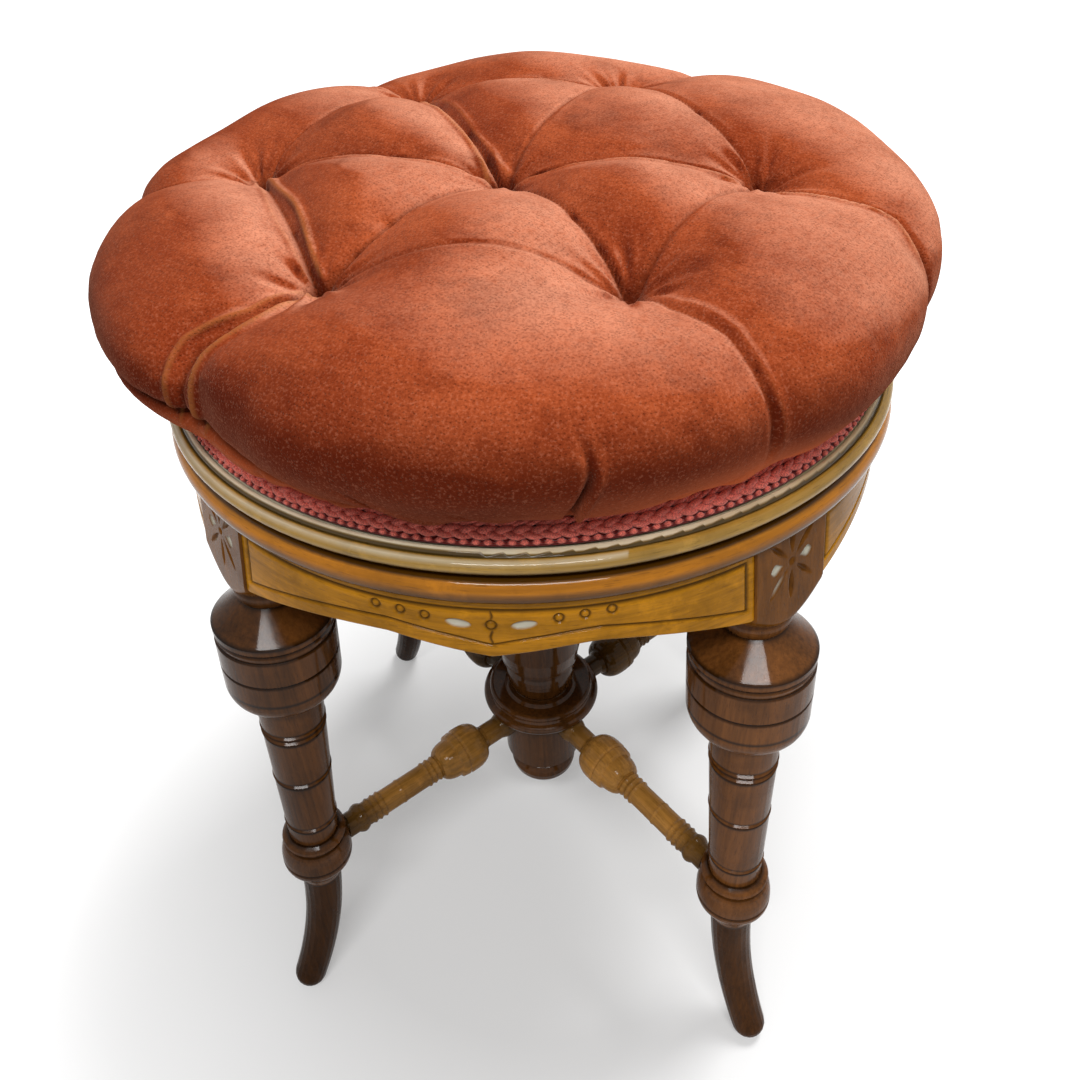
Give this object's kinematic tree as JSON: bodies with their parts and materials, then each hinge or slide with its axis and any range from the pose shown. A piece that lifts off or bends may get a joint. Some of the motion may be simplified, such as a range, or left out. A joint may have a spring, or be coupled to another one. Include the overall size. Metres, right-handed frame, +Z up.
{
  "type": "revolving piano stool",
  "caption": "Round tufted velvet stool whose seat turns up and down on an iron screw, over a carved apron, turned legs and a stretchered hub.",
  "frame": {"origin": "on the floor, under the centre of the round seat", "axes": "+Z up along the seat's screw; the front apron panel faces -Y; the legs stand at 45 degrees to X and Y"},
  "size_m": [0.3997, 0.404, 0.5489],
  "materials": {
    "velvet": "crushed velvet",
    "gimp": "woven braid",
    "twine": "matte",
    "rim_wood": "polished",
    "amber_wood": "french polished",
    "dark_wood": "french polished",
    "mid_wood": "french polished",
    "plain_wood": "unfinished",
    "iron": "black",
    "steel": "oiled"
  },
  "bodies": {
    "base": {"nut_plate": "iron", "nut_plate_screws": "steel", "base_ring": "amber_wood", "base_board": "plain_wood", "apron_front": "amber_wood", "apron_right": "amber_wood", "apron_back": "amber_wood", "apron_left": "amber_wood", "block_front_left": "dark_wood", "block_front_right": "dark_wood", "block_back_right": "dark_wood", "block_back_left": "dark_wood", "leg_front_left": "dark_wood", "leg_front_right": "dark_wood", "leg_back_right": "dark_wood", "leg_back_left": "dark_wood", "foot_front_left": "dark_wood", "foot_front_right": "dark_wood", "foot_back_right": "dark_wood", "foot_back_left": "dark_wood", "stretcher_front_left": "mid_wood", "stretcher_front_right": "mid_wood", "stretcher_back_right": "mid_wood", "stretcher_back_left": "mid_wood", "column": "dark_wood", "hub": "dark_wood", "finial": "dark_wood"},
    "stop": {"stop_washer": "steel"},
    "seat": {"cushion": "velvet", "tuft_twines": "twine", "gimp_braid": "gimp", "seat_rim": "rim_wood", "seat_board": "plain_wood", "spider_plate": "iron", "spider_screws": "steel", "seat_screw": "steel", "screw_pin": "steel", "stop_nut": "steel"}
  },
  "joints": [
    {"name": "seat_rise", "type": "slide", "parent": "base", "child": "stop", "axis": [0, 0, 1], "range_m": [0, 0.096]},
    {"name": "seat_spin", "type": "hinge", "parent": "stop", "child": "seat", "pos_m": [0, 0, 0.4], "axis": [0, 0, 1], "range_deg": [0, 4320]}
  ],
  "couplings": [
    {"joint": "seat_rise", "follows": "seat_spin", "m_per_rad": 0.0012732}
  ]
}
